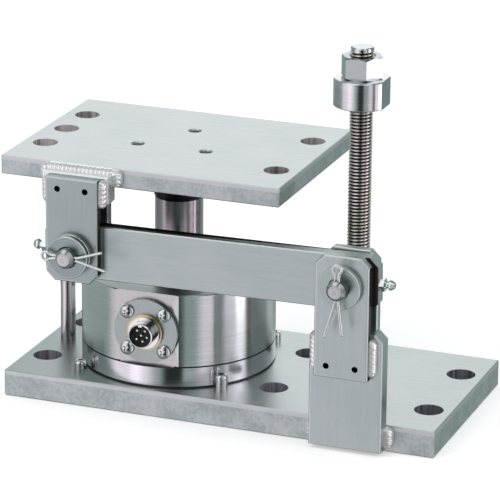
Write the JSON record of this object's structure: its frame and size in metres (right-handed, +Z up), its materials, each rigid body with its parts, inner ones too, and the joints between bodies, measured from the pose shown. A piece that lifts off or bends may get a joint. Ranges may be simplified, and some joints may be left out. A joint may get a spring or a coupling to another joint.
{
  "type": "load cell weighing module",
  "caption": "Compression load cell between a base plate and a top plate, with rocker column, tie bar on clevis pins, lift stop stud and round signal connector.",
  "frame": {"origin": "on the load axis, at the underside of the base plate", "axes": "+X along the plates towards the lift stop stud, +Z up from the base plate to the top plate; the tie bar and the signal connector are on the -Y side"},
  "size_m": [0.233, 0.1345, 0.191],
  "materials": {
    "brushed_plate": "brushed",
    "turned_steel": "fine turned",
    "polished_bar": "polished",
    "bright_fastener": "bright",
    "brushed_washer": "stamped",
    "weld_metal": "rippled weld bead",
    "membrane_steel": "satin",
    "split_pin_wire": "drawn wire",
    "connector_chrome": "plated",
    "gilt_ring": "plated",
    "contact_gold": "gold plated",
    "insert_plastic": "matt",
    "seal_rubber": "matt",
    "bush_bronze": "sintered",
    "gauge_foil": "polyimide foil",
    "board_laminate": "solder mask"
  },
  "bodies": {
    "root": {"base_plate": "brushed_plate", "base_post": "brushed_plate", "base_front_ear": "brushed_plate", "base_rear_ear": "brushed_plate", "base_weld_beads": "weld_metal", "support_rod": "polished_bar", "locating_pins": "bright_fastener", "lift_stud": "polished_bar", "cell_base_ring": "turned_steel", "cell_seal_ring": "seal_rubber", "cell_housing": "turned_steel", "cell_screws": "bright_fastener", "sensing_element": "turned_steel", "strain_gauges": "gauge_foil", "circuit_board": "board_laminate", "cover_membrane": "membrane_steel", "connector_gasket": "seal_rubber", "connector_flange": "turned_steel", "flange_screws": "bright_fastener", "connector_shell": "connector_chrome", "connector_lock_ring": "gilt_ring", "connector_insert": "insert_plastic", "contact_pins": "contact_gold", "rocker_column": "polished_bar", "base_clevis_pin": "bright_fastener", "base_washers": "brushed_washer", "base_split_pin": "split_pin_wire"},
    "tie_bar": {"tie_bar": "brushed_plate", "bar_bushes": "bush_bronze", "grease_nipples": "bright_fastener"},
    "top_plate": {"top_plate": "brushed_plate", "top_spacer": "brushed_plate", "top_front_ear": "brushed_plate", "top_rear_ear": "brushed_plate", "top_weld_beads": "weld_metal", "top_pad": "polished_bar", "pad_screws": "bright_fastener", "top_clevis_pin": "bright_fastener", "top_washers": "brushed_washer", "top_split_pin": "split_pin_wire"},
    "stop_collar": {"stop_collar": "turned_steel"},
    "lock_nut": {"lock_nut": "bright_fastener"}
  },
  "joints": [
    {"name": "bar_lift", "type": "hinge", "parent": "root", "child": "tie_bar", "pos_m": [0.113, -0.0595, 0.089], "axis": [0, 1, 0], "range_deg": [0, 3]},
    {"name": "plate_level", "type": "hinge", "parent": "tie_bar", "child": "top_plate", "pos_m": [-0.0305, -0.0595, 0.087], "axis": [0, 1, 0], "range_deg": [-3, 0]},
    {"name": "collar_height", "type": "slide", "parent": "root", "child": "stop_collar", "axis": [0, 0, 1], "range_m": [-0.146, 0.0045]},
    {"name": "lock_nut_turn", "type": "hinge", "parent": "stop_collar", "child": "lock_nut", "pos_m": [0.098, 0, 0.181], "axis": [0, 0, 1], "continuous": true}
  ],
  "couplings": [
    {"joint": "plate_level", "follows": "bar_lift", "ratio": -1}
  ]
}
